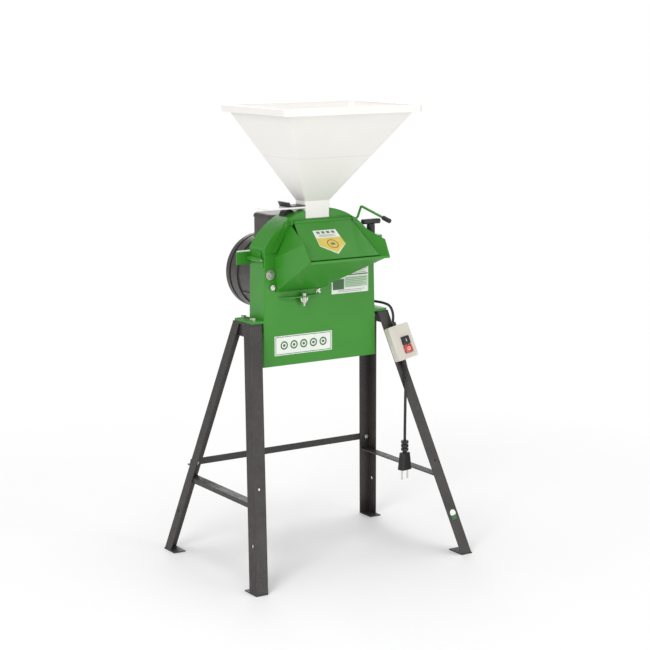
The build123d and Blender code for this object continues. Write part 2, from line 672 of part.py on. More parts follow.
with BuildPart() as funnel:
    add(wall_upper_left)
    add(wall_left)
    add(wall_right)
    add(wall_bottom)
    block(-90, 90, FUN_Y - 2.2, FUN_Y, 835, 846.5)
    with BuildSketch(xz(FUN_Y)):
        with BuildLine():
            Polyline((-85, 835), (-91, 846), (-99, 840), (-140, 768.6), (-127, 768.6), close=True)
        make_face()
        with BuildLine():
            Polyline((85, 835), (89, 846), (99, 840), (78, 800), (67, 800), close=True)
        make_face()
    extrude(amount=2.2)
    block(-112, 112, FUN_Y - 136.5, FUN_Y - 134.0, 754.5, 760.0)
    for sx in (-1, 1):
        xa, xb = sorted((sx * 87, sx * 90))
        block(xa, xb, FLAP_Y - 6, FUN_Y, FLAP_Z - 5, FLAP_Z + 6)
    rod_x(FLAP_Y, FLAP_Z, 3.3, -100, 100, Mode.SUBTRACT)
    block(-200, 200, FUN_Y, FUN_Y + 20, 600, 900, Mode.SUBTRACT)
save(funnel.part, "feed_funnel")

with BuildPart() as clip:
    with BuildSketch(xz(Y_FRONT)):
        with BuildLine():
            Polyline(
                (-15, 661),
                (-9, 666),
                (-4, 660.5),
                (0, 664),
                (-5, 667.5),
                (0, 671),
                (-4, 672.5),
                (-12, 669),
                close=True,
            )
        make_face()
    extrude(amount=2.5)
    rod_y(-8, 667, 1.8, Y_FRONT - 4.0, Y_FRONT - 2)
save(clip.part, "panel_clip")

# ---- flap with its lever --------------------------------------------------
FLAP_DEG = 36.6
fdir = (0, -math.cos(math.radians(FLAP_DEG)), -math.sin(math.radians(FLAP_DEG)))
fnorm = (0, -math.sin(math.radians(FLAP_DEG)), math.cos(math.radians(FLAP_DEG)))
FLAP_PLANE = Plane(origin=(0, FLAP_Y, FLAP_Z), x_dir=(1, 0, 0), z_dir=fnorm)
FLAP_SIGN = 1 if FLAP_PLANE.y_dir.Z > 0 else -1

with BuildPart() as flap:
    with BuildSketch(FLAP_PLANE.offset(-1.0)):
        with BuildLine():
            Polyline(
                (-80.5, 0),
                (80.5, 0),
                (84.0, -FLAP_SIGN * 20),
                (96.5, -FLAP_SIGN * 133.5),
                (-108.4, -FLAP_SIGN * 133.5),
                (-106.5, -FLAP_SIGN * 112),
                (-83.0, -FLAP_SIGN * 16),
                close=True,
            )
        make_face()
    extrude(amount=2.0)
    rod_x(FLAP_Y, FLAP_Z, 4.6, -80.5, 80.5)
    rod_x(FLAP_Y, FLAP_Z, 3.01, -100, 100, Mode.SUBTRACT)
save(flap.part, "feed_flap")

LEVER_X = 103.5
LEVER_PTS = [
    (-84.0, FLAP_Y, FLAP_Z),
    (LEVER_X, FLAP_Y, FLAP_Z),
    (LEVER_X, -69.5, 870.5),
    (LEVER_X, -190.0, 845.3),
]
with BuildPart() as lever:
    with BuildLine():
        FilletPolyline(LEVER_PTS, radius=[6.0, 6.0])
    with BuildSketch(Plane(origin=LEVER_PTS[0], z_dir=(1, 0, 0))):
        Circle(3.0)
    sweep()
save(lever.part, "flap_lever")

tip_dir = Vector(0, -120.5, -25.2).normalized()
tip_end = Vector(LEVER_X, -190.0, 845.3)
with BuildPart() as lever_tip:
    with BuildSketch(Plane(origin=tip_end + tip_dir * 3, z_dir=-tip_dir)):
        Circle(5.6)
    extrude(amount=29)
    fillet(lever_tip.edges().filter_by(GeomType.CIRCLE), 2.0)
    with BuildSketch(Plane(origin=tip_end, z_dir=-tip_dir)):
        Circle(3.02)
    extrude(amount=40, mode=Mode.SUBTRACT)
save(lever_tip.part, "lever_tip")

# ---- clamp knob -----------------------------------------------------------
with BuildPart() as knob:
    rod_z(KNOB_X, KNOB_Y, 10.0, 789.4, 819)
    block(KNOB_X - 26, KNOB_X + 26, KNOB_Y - 7.5, KNOB_Y + 7.5, 817.5, 829)
    fillet(knob.edges().filter_by(Axis.Z).sort_by_distance((KNOB_X, KNOB_Y, 823))[-4:], 6)
    fillet(knob.faces().sort_by(Axis.Z)[-1].edges(), 2.5)
    rod_z(KNOB_X, KNOB_Y, 4.01, 780, 815, Mode.SUBTRACT)
save(knob.part, "clamp_knob")

with BuildPart() as clamp_screw:
    rod_z(KNOB_X, KNOB_Y, 4.0, 756.6, 815)
save(clamp_screw.part, "clamp_screw")

# ---- hopper ---------------------------------------------------------------
CONE_TOP_Z = 1104.0
CONE_LOW_Z = 888.0
WALL = 3.0
GATE_Z = 876.0

with BuildPart() as hopper:
    with BuildSketch(Plane.XY.offset(CONE_LOW_Z)):
        with Locations((NECK_X, NECK_Y)):
            RectangleRounded(71, 48, 5)
    with BuildSketch(Plane.XY.offset(CONE_TOP_Z)):
        with Locations((NECK_X, RIM_Y)):
            RectangleRounded(360, 277, 16)
    loft(ruled=True)
    with BuildSketch(Plane.XY.offset(CONE_TOP_Z)):
        with Locations((NECK_X, RIM_Y)):
            RectangleRounded(RIM_W, RIM_D, 12)
    extrude(amount=RIM_Z - CONE_TOP_Z)
    with BuildSketch(Plane.XY.offset(846.6)):
        with Locations((NECK_X, NECK_Y)):
            RectangleRounded(71, 48, 5)
    extrude(amount=CONE_LOW_Z - 846.6)
    block(-150, NECK_X - 30, NECK_Y - 24, NECK_Y + 24, GATE_Z - 4.3, GATE_Z - 0.3)
    with BuildSketch(xz(NECK_Y + 2)):
        with BuildLine():
            Polyline((-41, 872), (-41, 867.4), (-60, 863), (-74, 872), close=True)
        make_face()
    extrude(amount=4)
    with BuildSketch(Plane.XY.offset(CONE_LOW_Z)):
        with Locations((NECK_X, NECK_Y)):
            RectangleRounded(71 - 2 * WALL, 48 - 2 * WALL, 3)
    with BuildSketch(Plane.XY.offset(RIM_Z - 3.0)):
        with Locations((NECK_X, RIM_Y)):
            RectangleRounded(366, 283, 14)
    loft(ruled=True, mode=Mode.SUBTRACT)
    with BuildSketch(Plane.XY.offset(RIM_Z - 3.2)):
        with Locations((NECK_X, RIM_Y)):
            RectangleRounded(366, 283, 14)
    extrude(amount=10, mode=Mode.SUBTRACT)
    with BuildSketch(Plane.XY.offset(840)):
        with Locations((NECK_X, NECK_Y)):
            RectangleRounded(71 - 2 * WALL, 48 - 2 * WALL, 3)
    extrude(amount=CONE_LOW_Z - 839, mode=Mode.SUBTRACT)
    block(-200, NECK_X + 33.0, NECK_Y - 22.5, NECK_Y + 22.5, GATE_Z - 0.3, GATE_Z + 2.6, Mode.SUBTRACT)
    with BuildSketch(Plane.XY.offset(CONE_TOP_Z - 1)):
        with Locations((NECK_X, RIM_Y)):
            RectangleRounded(RIM_W - 6, RIM_D - 6, 9)
            RectangleRounded(372, 289, 16, mode=Mode.SUBTRACT)
    extrude(amount=RIM_Z - CONE_TOP_Z - 2, mode=Mode.SUBTRACT)
save(hopper.part, "grain_hopper")

with BuildPart() as gate:
    block(-84, NECK_X + 32.5, NECK_Y - 21.8, NECK_Y + 21.8, GATE_Z, GATE_Z + 2.0)
    with BuildSketch(xz(NECK_Y + 23.5)):
        with BuildLine():
            Polyline((-86.5, 876), (-81.5, 876), (-81.5, 878), (-87.5, 888.2), (-91.8, 887.4), close=True)
        make_face()
    extrude(amount=48)
save(gate.part, "slide_gate")

with BuildPart() as arch_block:
    with BuildSketch(xz(11)):
        with Locations((-66, 850)):
            Circle(17.5)
    extrude(amount=23)
    rod_y(0, AXIS_Z, ARC_R + 0.02, -60, 60, Mode.SUBTRACT)
save(arch_block.part, "hopper_support_block")

# ---- switch box on the front right leg -------------------------------------
SWITCH_Z = 527.0
leg_dir = Vector(FOOT_X - TOP_X, FOOT_Y_FRONT - TOP_Y_FRONT, -Z_STAND)
SW_N = Vector(0, -Z_STAND, TOP_Y_FRONT - FOOT_Y_FRONT).normalized()
SW_V = (-leg_dir).normalized()
SW_U = SW_V.cross(SW_N)
SW_O = Vector(210.0, leg_y(SWITCH_Z, False), SWITCH_Z) + SW_U * 4.0 - SW_V * 9.5
SW = Plane(origin=SW_O, x_dir=SW_U, z_dir=SW_N)
SW_W = 63.0
SW_H = 88.0
BUTTONS = {"start_button": (7.0, 1.4), "stop_button": (6.8, -20.6)}
BUTTON_W = 22.0
BUTTON_H = 20.0
SCREWS = [(-10.0, 38.5), (27.0, -39.5)]


def sw_point(u, v, n):
    return SW_O + SW_U * u + SW_V * v + SW_N * n


with BuildPart() as switch_base:
    with BuildSketch(SW.offset(0.3)):
        RectangleRounded(SW_W, SW_H, 4)
    extrude(amount=6.7)
    with BuildSketch(SW.offset(2.5)):
        RectangleRounded(SW_W - 5, SW_H - 5, 2)
    extrude(amount=10, mode=Mode.SUBTRACT)
save(switch_base.part, "switch_box_base")

with BuildPart() as switch_cover:
    with BuildSketch(SW.offset(7.0)):
        RectangleRounded(SW_W, SW_H, 4)
    extrude(amount=11.0)
    with BuildSketch(SW.offset(6.5)):
        RectangleRounded(SW_W - 5, SW_H - 5, 2)
    extrude(amount=9.0, mode=Mode.SUBTRACT)
    with BuildSketch(SW.offset(6.5)):
        for spot in BUTTONS.values():
            with Locations(spot):
                Rectangle(BUTTON_W + 0.8, BUTTON_H + 0.8)
    extrude(amount=20, mode=Mode.SUBTRACT)
    with BuildSketch(SW.offset(7.0)):
        with Locations(*SCREWS):
            Circle(2.1)
    extrude(amount=20, mode=Mode.SUBTRACT)
save(switch_cover.part, "switch_box_cover")

for name, spot in BUTTONS.items():
    with BuildPart() as button:
        with BuildSketch(SW.offset(9.0)):
            with Locations(spot):
                Rectangle(BUTTON_W, BUTTON_H)
        extrude(amount=14.5)
    save(button.part, name)

with BuildPart() as box_screws:
    with BuildSketch(SW.offset(18.0)):
        with Locations(*SCREWS):
            Circle(3.2)
    extrude(amount=1.2)
    with BuildSketch(SW.offset(9.5)):
        with Locations(*SCREWS):
            Circle(2.0)
    extrude(amount=9.0)
save(box_screws.part, "switch_box_screws")


# ---- cables ---------------------------------------------------------------
def route_radii(points):
    radii = []
    for k in range(1, len(points) - 1):
        a = Vector(*points[k]) - Vector(*points[k - 1])
        b = Vector(*points[k + 1]) - Vector(*points[k])
        turn = math.radians(a.get_angle(b))
        radii.append(0.45 * min(a.length, b.length) / math.tan(turn / 2))
    return radii


def make_cable(points, diameter, name):
    radii = route_radii(points)
    with BuildPart() as tube:
        with BuildLine() as line:
            path = FilletPolyline(points, radius=radii)
        start = Vector(*points[1]) - Vector(*points[0])
        with BuildSketch(Plane(origin=points[0], z_dir=start)):
            Circle(diameter / 2)
        sweep()
    length = path.length
    ratio = tube.part.volume / (math.pi * diameter**2 / 4 * length)
    print(name, "length", round(length, 1), "radii", [round(r, 1) for r in radii], "ratio", round(ratio, 4))
    save(tube.part, name)


gland_top = sw_point(-5, SW_H / 2 + 9.5, 10)
box_exit = (BOX_X + 8.0, 150.0, 800.0)
MOTOR_CABLE = [
    box_exit,
    (92.0, 150.0, 800.0),
    (118.0, 143.0, 776.0),
    (132.0, 126.0, 738.0),
    (141.0, 103.0, 698.0),
    (150.0, 76.0, 662.0),
    (160.0, 48.0, 637.0),
    (169.0, 23.0, 624.5),
    (181.0, -3.0, 619.3),
    (195.0, -30.0, 617.6),
    (204.5, -50.0, 612.0),
    (206.5, -61.0, 592.0),
    tuple(gland_top),
]
make_cable(MOTOR_CABLE, 6.5, "motor_cable")

CORD_EXIT = sw_point(-12, -SW_H / 2 - 20, 9)
PLUG_X = 199.5
PLUG_Y = -123.6
PLUG_TOP = 278.5
POWER_CORD = [
    tuple(CORD_EXIT),
    tuple(CORD_EXIT - SW_V * 14),
    (206.3, -117.0, 422.0),
    (202.0, -121.5, 391.0),
    (200.6, -123.0, 351.0),
    (PLUG_X, PLUG_Y, 312.0),
    (PLUG_X, PLUG_Y, PLUG_TOP),
]
make_cable(POWER_CORD, CORD_D, "power_cord")

with BuildPart() as cable_glands:
    rod_x(150, 800, 9.0, BOX_X - 1.9, box_exit[0])
    rod_x(150, 800, 6.4, BOX_X - 10, BOX_X)
    with BuildSketch(Plane(origin=sw_point(-5, SW_H / 2 + 0.1, 10), z_dir=SW_V)):
        Circle(6.5)
    extrude(amount=9.2)
    with BuildSketch(Plane(origin=sw_point(-12, -SW_H / 2 - 0.1, 9), z_dir=-SW_V)):
        Circle(6.5)
    with BuildSketch(Plane(origin=CORD_EXIT, z_dir=-SW_V)):
        Circle(4.6)
    loft()
save(cable_glands.part, "cable_glands")

PLUG_TURN = 10.0
PIN_LEN = 25.0
with BuildPart() as plug:
    for k in range(3):
        rod_z(PLUG_X, PLUG_Y, 9.5, PLUG_TOP - 6 - 9.5 * k, PLUG_TOP - 9.5 * k)
    rod_z(PLUG_X, PLUG_Y, 5.5, PLUG_TOP - 33, PLUG_TOP)
    for z, w, d in ((PLUG_TOP - 31, 27, 17), (PLUG_TOP - 74, 35, 21)):
        with BuildSketch(Location((PLUG_X, PLUG_Y, z), (0, 0, PLUG_TURN))):
            RectangleRounded(w, d, 6)
    loft(ruled=True)
save(plug.part, "plug_body")

with BuildPart() as pins:
    for s in (-1, 1):
        px = PLUG_X + s * 9.5 * math.cos(math.radians(PLUG_TURN))
        py = PLUG_Y + s * 9.5 * math.sin(math.radians(PLUG_TURN))
        rod_z(px, py, 2.4, PLUG_TOP - 74 - PIN_LEN, PLUG_TOP - 74)
save(pins.part, "plug_pins")

# ---- labels ---------------------------------------------------------------
with BuildPart() as labels:
    block(-132, 33, Y_FRONT - 0.6, Y_FRONT, 516.5, 564.5)
    block(32.6, 141, Y_FRONT - 0.6, Y_FRONT, 654, 716)
save(labels.part, "front_labels")

with BuildPart() as warning_label:
    with BuildSketch(FLAP_PLANE.offset(1.0)):
        with BuildLine():
            Polyline(
                (-45, -FLAP_SIGN * 34),
                (20, -FLAP_SIGN * 34),
                (23, -FLAP_SIGN * 86),
                (-14, -FLAP_SIGN * 118),
                (-51, -FLAP_SIGN * 88),
                close=True,
            )
        make_face()
    extrude(amount=0.6)
save(warning_label.part, "warning_label")
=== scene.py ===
import math

import bmesh
import bpy
from bpy.props import FloatProperty, FloatVectorProperty, PointerProperty
from mathutils import Matrix, Vector


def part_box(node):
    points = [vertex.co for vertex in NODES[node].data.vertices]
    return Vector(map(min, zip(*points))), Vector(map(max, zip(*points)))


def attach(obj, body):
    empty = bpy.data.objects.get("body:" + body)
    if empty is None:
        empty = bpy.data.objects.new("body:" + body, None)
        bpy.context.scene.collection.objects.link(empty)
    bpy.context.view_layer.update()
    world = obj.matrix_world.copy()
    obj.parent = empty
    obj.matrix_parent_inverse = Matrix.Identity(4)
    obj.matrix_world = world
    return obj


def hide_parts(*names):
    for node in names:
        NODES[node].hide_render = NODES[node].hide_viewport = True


bl_info = {
    "name": "Hammer Mill",
    "version": (1, 0, 0),
    "blender": (4, 5, 0),
    "location": "View3D > Sidebar > Mill",
    "description": "Finishes and detail pieces for a hammer mill on an angle-steel stand",
    "category": "Add Mesh",
}

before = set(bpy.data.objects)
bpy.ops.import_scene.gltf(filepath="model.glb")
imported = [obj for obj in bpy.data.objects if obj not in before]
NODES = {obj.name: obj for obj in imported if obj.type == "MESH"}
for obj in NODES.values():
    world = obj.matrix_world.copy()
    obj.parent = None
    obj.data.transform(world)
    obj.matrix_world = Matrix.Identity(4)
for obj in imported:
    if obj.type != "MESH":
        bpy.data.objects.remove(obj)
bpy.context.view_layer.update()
MM = 0.001


# ---- settings -------------------------------------------------------------
def colour(name, default, description):
    return FloatVectorProperty(
        name=name, description=description, default=default, size=3, min=0.0, max=1.0, subtype="COLOR"
    )


def length(name, default, description):
    return FloatProperty(name=name, description=description, default=default, min=0.0, unit="LENGTH")


class MillColours(bpy.types.PropertyGroup):
    green: colour("Green paint", (0.036, 0.252, 0.018), "Paint of the housing, cover and funnel")
    charcoal: colour("Stand paint", (0.030, 0.027, 0.026), "Paint of the legs, rails and braces")
    motor: colour("Motor paint", (0.046, 0.040, 0.038), "Paint of the motor")
    hopper: colour("Hopper plastic", (0.85, 0.83, 0.80), "Moulded plastic of the grain hopper")
    black: colour("Black plastic", (0.012, 0.012, 0.013), "Knob, gate, plug and fan")
    box: colour("Switch box plastic", (0.62, 0.59, 0.52), "Plastic of the switch box")
    stop: colour("Stop button", (0.52, 0.045, 0.025), "Plastic of the stop button")
    rubber: colour("Cable rubber", (0.014, 0.014, 0.014), "Sheath of the cables")


class MillSizes(bpy.types.PropertyGroup):
    cord: length("Cord diameter", 0.007, "Diameter of the mains cord")
    knob_round: length("Knob rounding", 0.0035, "Edge rounding of the clamp knob")
    print_skin: length("Print thickness", 0.0001, "How far the print stands off its label")


# ---- materials ------------------------------------------------------------
def start_material(name):
    mat = bpy.data.materials.new(name)
    mat.use_nodes = True
    tree = mat.node_tree
    return mat, tree, tree.nodes["Principled BSDF"]


def link(tree, a, b):
    tree.links.new(a, b)


def noise(tree, scale, detail=3.0, roughness=0.55, stretch=(1, 1, 1)):
    coords = tree.nodes.new("ShaderNodeTexCoord")
    mapping = tree.nodes.new("ShaderNodeMapping")
    mapping.inputs["Scale"].default_value = stretch
    tex = tree.nodes.new("ShaderNodeTexNoise")
    tex.inputs["Scale"].default_value = scale
    tex.inputs["Detail"].default_value = detail
    tex.inputs["Roughness"].default_value = roughness
    link(tree, coords.outputs["Object"], mapping.inputs["Vector"])
    link(tree, mapping.outputs["Vector"], tex.inputs["Vector"])
    return tex.outputs["Fac"]


def spread(tree, fac, low, high, lo=0.3, hi=0.7):
    node = tree.nodes.new("ShaderNodeMapRange")
    node.inputs["From Min"].default_value = lo
    node.inputs["From Max"].default_value = hi
    node.inputs["To Min"].default_value = low
    node.inputs["To Max"].default_value = high
    link(tree, fac, node.inputs["Value"])
    return node.outputs["Result"]


def blend_colours(tree, fac, first, second):
    node = tree.nodes.new("ShaderNodeMix")
    node.data_type = "RGBA"
    for socket, value in (("A", first), ("B", second)):
        target = [s for s in node.inputs if s.name == socket and s.type == "RGBA"][0]
        if isinstance(value, bpy.types.NodeSocket):
            link(tree, value, target)
        else:
            target.default_value = (*value, 1.0)
    factor = [s for s in node.inputs if s.name == "Factor" and s.type == "VALUE"][0]
    link(tree, fac, factor)
    return [s for s in node.outputs if s.type == "RGBA"][0]


def bump(tree, shader, height, distance, strength=0.5):
    node = tree.nodes.new("ShaderNodeBump")
    node.inputs["Strength"].default_value = strength
    node.inputs["Distance"].default_value = distance
    link(tree, height, node.inputs["Height"])
    link(tree, node.outputs["Normal"], shader.inputs["Normal"])


def tint(base, factor):
    return tuple(min(1.0, c * factor) for c in base)


def surface(name, base, rough, mottle, grain, skin, metallic=0.0, coat=0.0, stretch=(1, 1, 1), specular=0.5,
            dust=0.0):
    """Colour drift, uneven gloss and a fine skin texture over one base colour."""
    mat, tree, shader = start_material(name)
    drift = spread(tree, noise(tree, grain, 5.0, 0.6, stretch), 0.0, 1.0)
    tone = blend_colours(tree, drift, tint(base, mottle[0]), tint(base, mottle[1]))
    if dust:
        specks = spread(tree, noise(tree, grain * 14, 6.0, 0.7), 0.0, dust, 0.56, 0.72)
        tone = blend_colours(tree, specks, tone, (0.42, 0.40, 0.36))
    link(tree, tone, shader.inputs["Base Color"])
    gloss = spread(tree, noise(tree, grain * 5, 4.0, 0.6, stretch), rough[0], rough[1])
    link(tree, gloss, shader.inputs["Roughness"])
    shader.inputs["Metallic"].default_value = metallic
    shader.inputs["Specular IOR Level"].default_value = specular
    shader.inputs["Coat Weight"].default_value = coat
    shader.inputs["Coat Roughness"].default_value = 0.2
    bump(tree, shader, noise(tree, skin[0], 2.0, 0.5, stretch), skin[1])
    return mat


def mould_line_shade(mat, height, half=0.0016, depth=0.93):
    """Painted shade: a faint darker band round a moulding at the given height, standing in for the shade
    along its parting-line ridge.
    """
    tree = mat.node_tree
    shader = tree.nodes["Principled BSDF"]
    coords = tree.nodes.new("ShaderNodeTexCoord")
    parts = tree.nodes.new("ShaderNodeSeparateXYZ")
    link(tree, coords.outputs["Object"], parts.inputs["Vector"])
    away = tree.nodes.new("ShaderNodeMath")
    away.operation = "SUBTRACT"
    away.inputs[1].default_value = height
    link(tree, parts.outputs["Z"], away.inputs[0])
    gap = tree.nodes.new("ShaderNodeMath")
    gap.operation = "ABSOLUTE"
    link(tree, away.outputs["Value"], gap.inputs[0])
    tone = shader.inputs["Base Color"].links[0].from_socket
    # painted shade: the hopper colour darkened along the parting line, where its small ridge would be shaded
    ridge_shade = tint(tuple(bpy.context.scene.mill_colours.hopper), depth)
    mixed = blend_colours(tree, spread(tree, gap.outputs["Value"], 0.0, 1.0, half * 0.4, half), ridge_shade, tone)
    link(tree, mixed, shader.inputs["Base Color"])


def pale_floor():
    """A matt floor that brightens into the white surround away from the mill."""
    mat, tree, shader = start_material("Pale floor")
    drift = spread(tree, noise(tree, 2.0), 0.0, 1.0)
    tone = blend_colours(tree, drift, (0.90, 0.90, 0.90), (0.91, 0.91, 0.91))
    link(tree, tone, shader.inputs["Base Color"])
    shader.inputs["Roughness"].default_value = 0.8
    coords = tree.nodes.new("ShaderNodeTexCoord")
    reach = tree.nodes.new("ShaderNodeVectorMath")
    reach.operation = "LENGTH"
    link(tree, coords.outputs["Object"], reach.inputs[0])
    glow = tree.nodes.new("ShaderNodeEmission")
    mix = tree.nodes.new("ShaderNodeMixShader")
    link(tree, spread(tree, reach.outputs["Value"], 0.0, 1.0, 0.5, 1.7), mix.inputs["Fac"])
    link(tree, shader.outputs["BSDF"], mix.inputs[1])
    link(tree, glow.outputs["Emission"], mix.inputs[2])
    link(tree, mix.outputs["Shader"], tree.nodes["Material Output"].inputs["Surface"])
    return mat


PALETTE = {}


# key: name, colour (or the setting that holds it), roughness, colour drift, grain, skin, other settings
FINISHES = {
    "green": ("Green powder coat", "green", (0.30, 0.44), (0.93, 1.06), 5.0, (620.0, 0.00005),
              {"coat": 0.12, "specular": 0.35}),
    "charcoal": ("Charcoal stand paint", "charcoal", (0.42, 0.62), (0.8, 1.25), 14.0, (480.0, 0.00005),
                 {"coat": 0.1, "dust": 0.10}),
    "motor": ("Motor enamel", "motor", (0.38, 0.55), (0.82, 1.2), 18.0, (380.0, 0.00008), {"coat": 0.1}),
    "white": ("Moulded hopper plastic", "hopper", (0.30, 0.40), (0.97, 1.02), 6.0, (900.0, 0.00002),
              {"specular": 0.45}),
    "black": ("Black moulded plastic", "black", (0.38, 0.52), (0.8, 1.3), 40.0, (1500.0, 0.00004), {}),
    "box": ("Switch box plastic", "box", (0.36, 0.46), (0.95, 1.04), 20.0, (1600.0, 0.00004), {}),
    "stop": ("Red button plastic", "stop", (0.22, 0.32), (0.9, 1.1), 60.0, (1600.0, 0.00002), {"coat": 0.4}),
    "rubber": ("Cable sheath", "rubber", (0.45, 0.6), (0.8, 1.3), 60.0, (1800.0, 0.00004), {}),
    "zinc": ("Zinc plated steel", (0.58, 0.57, 0.53), (0.24, 0.42), (0.85, 1.1), 90.0, (1400.0, 0.00003),
             {"metallic": 1.0}),
    "steel": ("Bare rolled steel", (0.44, 0.43, 0.42), (0.26, 0.46), (0.8, 1.12), 40.0, (500.0, 0.00004),
              {"metallic": 1.0, "stretch": (1, 1, 9)}),
    "bright": ("Nickel plated pins", (0.72, 0.71, 0.68), (0.12, 0.22), (0.94, 1.04), 80.0, (900.0, 0.00001),
               {"metallic": 1.0}),
    "core": ("Laminations and varnish", (0.20, 0.085, 0.035), (0.4, 0.6), (0.7, 1.2), 60.0, (260.0, 0.0002),
             {"metallic": 0.6, "stretch": (1, 22, 1)}),
    "label": ("Printed white film", (0.80, 0.84, 0.78), (0.26, 0.36), (0.96, 1.02), 24.0, (900.0, 0.00001),
              {}),
    "plate": ("Pale green film", (0.46, 0.66, 0.45), (0.26, 0.36), (0.95, 1.03), 24.0, (900.0, 0.00001), {}),
    "ink_green": ("Green print", (0.03, 0.13, 0.03), (0.3, 0.4), (0.9, 1.1), 50.0, (900.0, 0.00001), {}),
    "ink_grey": ("Grey print", (0.16, 0.20, 0.16), (0.3, 0.4), (0.9, 1.1), 50.0, (900.0, 0.00001), {}),
    "ink_yellow": ("Yellow print", (0.70, 0.56, 0.10), (0.3, 0.4), (0.93, 1.05), 50.0, (900.0, 0.00001), {}),
    "ink_red": ("Red print", (0.45, 0.04, 0.03), (0.3, 0.4), (0.93, 1.05), 50.0, (900.0, 0.00001), {}),
}
MOULD_LINE_Z = 0.998


def build_palette(colours):
    for key, (name, base, rough, mottle, grain, skin, extra) in FINISHES.items():
        shade = tuple(getattr(colours, base)) if isinstance(base, str) else base
        PALETTE[key] = surface(name, shade, rough, mottle, grain, skin, **extra)
    # painted shade band along the hopper's parting line
    mould_line_shade(PALETTE["white"], MOULD_LINE_Z)


def paint_nodes(key, names):
    for name in names.split():
        slots = NODES[name].data.materials
        if len(slots) == 0:
            slots.append(PALETTE[key])
        for index in range(len(slots)):
            slots[index] = PALETTE[key]


# ---- mesh helpers ---------------------------------------------------------
def sharpen(bm, degrees=32.0):
    for face in bm.faces:
        face.smooth = True
    for edge in bm.edges:
        edge.smooth = edge.calc_face_angle(0.0) < math.radians(degrees)


def put(bm, name, material, body, stands_for=()):
    bmesh.ops.recalc_face_normals(bm, faces=bm.faces[:])
    sharpen(bm)
    mesh = bpy.data.meshes.new(name)
    bm.to_mesh(mesh)
    bm.free()
    mesh.materials.append(PALETTE[material])
    obj = bpy.data.objects.new(name, mesh)
    bpy.context.scene.collection.objects.link(obj)
    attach(obj, body)
    if stands_for:
        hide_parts(*stands_for)
    return obj


def rounded_cube(bm, size, round_by, segments):
    made = bmesh.ops.create_cube(bm, size=1.0)["verts"]
    bmesh.ops.scale(bm, vec=size, verts=made)
    if round_by:
        edges = list({e for v in made for e in v.link_edges})
        cut = bmesh.ops.bevel(bm, geom=edges, offset=round_by, offset_type="OFFSET", segments=segments,
                              profile=0.5, affect="EDGES", material=-1)
        made = list({v for f in cut["faces"] for v in f.verts} | {v for v in made if v.is_valid})
    return made


def box(bm, low, high, round_by=0.0, segments=3):
    made = rounded_cube(bm, Vector(high) - Vector(low), round_by, segments)
    bmesh.ops.translate(bm, verts=made, vec=(Vector(low) + Vector(high)) / 2)


def turned(bm, profile, axis, foot, steps=40):
    """Spins (radius, height) pairs about an axis through foot."""
    verts = [bm.verts.new((r, 0.0, h)) for r, h in profile]
    edges = [bm.edges.new(pair) for pair in zip(verts, verts[1:])]
    spun = bmesh.ops.spin(bm, geom=verts + edges, cent=(0, 0, 0), axis=(0, 0, 1), angle=math.tau, steps=steps,
                          use_merge=True)
    made = [g for g in spun["geom_last"] if isinstance(g, bmesh.types.BMVert)]
    island = set(verts) | set(made)
    grow = list(island)
    while grow:
        vert = grow.pop()
        for edge in vert.link_edges:
            other = edge.other_vert(vert)
            if other not in island:
                island.add(other)
                grow.append(other)
    island = [v for v in island if v.is_valid]
    bmesh.ops.remove_doubles(bm, verts=island, dist=0.00001)
    island = [v for v in island if v.is_valid]
    turn = Vector((0, 0, 1)).rotation_difference(Vector(axis)).to_matrix()
    bmesh.ops.rotate(bm, verts=island, cent=(0, 0, 0), matrix=turn)
    bmesh.ops.translate(bm, verts=island, vec=foot)


def slab(bm, face, u, v, n, round_by=0.0, segments=2):
    """A box over the ranges u, v, n (mm) of a face given as origin (mm), across and up directions."""
    origin, across, up = (Vector(a) for a in face)
    out = across.cross(up)
    size = Vector((u[1] - u[0], v[1] - v[0], n[1] - n[0])) * MM
    made = rounded_cube(bm, size, round_by * MM, segments)
    centre = origin + across * (u[0] + u[1]) / 2 + up * (v[0] + v[1]) / 2 + out * (n[0] + n[1]) / 2
    turn = Matrix((across, up, out)).transposed()
    bmesh.ops.rotate(bm, verts=made, cent=(0, 0, 0), matrix=turn)
    bmesh.ops.translate(bm, verts=made, vec=centre * MM)


def disc(bm, face, u, v, n, outer, inner=0.0, steps=32):
    """A flat disc or ring (mm) on a face."""
    origin, across, up = (Vector(a) for a in face)
    out = across.cross(up)
    profile = [(inner, n[0]), (outer, n[0]), (outer, n[1]), (inner, n[1])]
    if inner:
        profile.append(profile[0])
    foot = (origin + across * u + up * v) * MM
    turned(bm, [(r * MM, h * MM) for r, h in profile], out, foot, steps)


def lines(bm, face, u, top, count, pitch, height, n, ends):
    """Rows of plain bars that stand for printed text."""
    for row in range(count):
        stop = u[1] - ends[row % len(ends)]
        slab(bm, face, (u[0], stop), (top - row * pitch - height, top - row * pitch), n)


# faces that carry print or buttons: origin (mm), across, up
FRONT = ((0.0, -45.1, 0.0), (1, 0, 0), (0, 0, 1))
FLAP = ((0.0, -52.5, 839.3), (1, 0, 0), (0, 0.802817, 0.596225))
LEG = ((279.5, -222.3, 98.0), (0.984650, 0.057820, 0.165205), (-0.175032, 0.325281, 0.929368))
SWITCH = ((215.61, -74.93, 518.83), (0.984650, 0.057820, 0.165205), (-0.175032, 0.325281, 0.929368))


# ---- camera and cords -----------------------------------------------------
def cord_curve(name, route, diameter, material):
    curve = bpy.data.curves.new(name, "CURVE")
    curve.dimensions = "3D"
    curve.resolution_u = 12
    curve.bevel_depth = diameter / 2
    curve.bevel_resolution = 6
    curve.use_fill_caps = True
    spline = curve.splines.new("NURBS")
    spline.points.add(len(route) - 1)
    for point, place in zip(spline.points, route):
        point.co = (*place, 1.0)
    spline.order_u = 3
    spline.use_endpoint_u = True
    curve.materials.append(PALETTE[material])
    obj = bpy.data.objects.new(name, curve)
    bpy.context.scene.collection.objects.link(obj)
    return obj


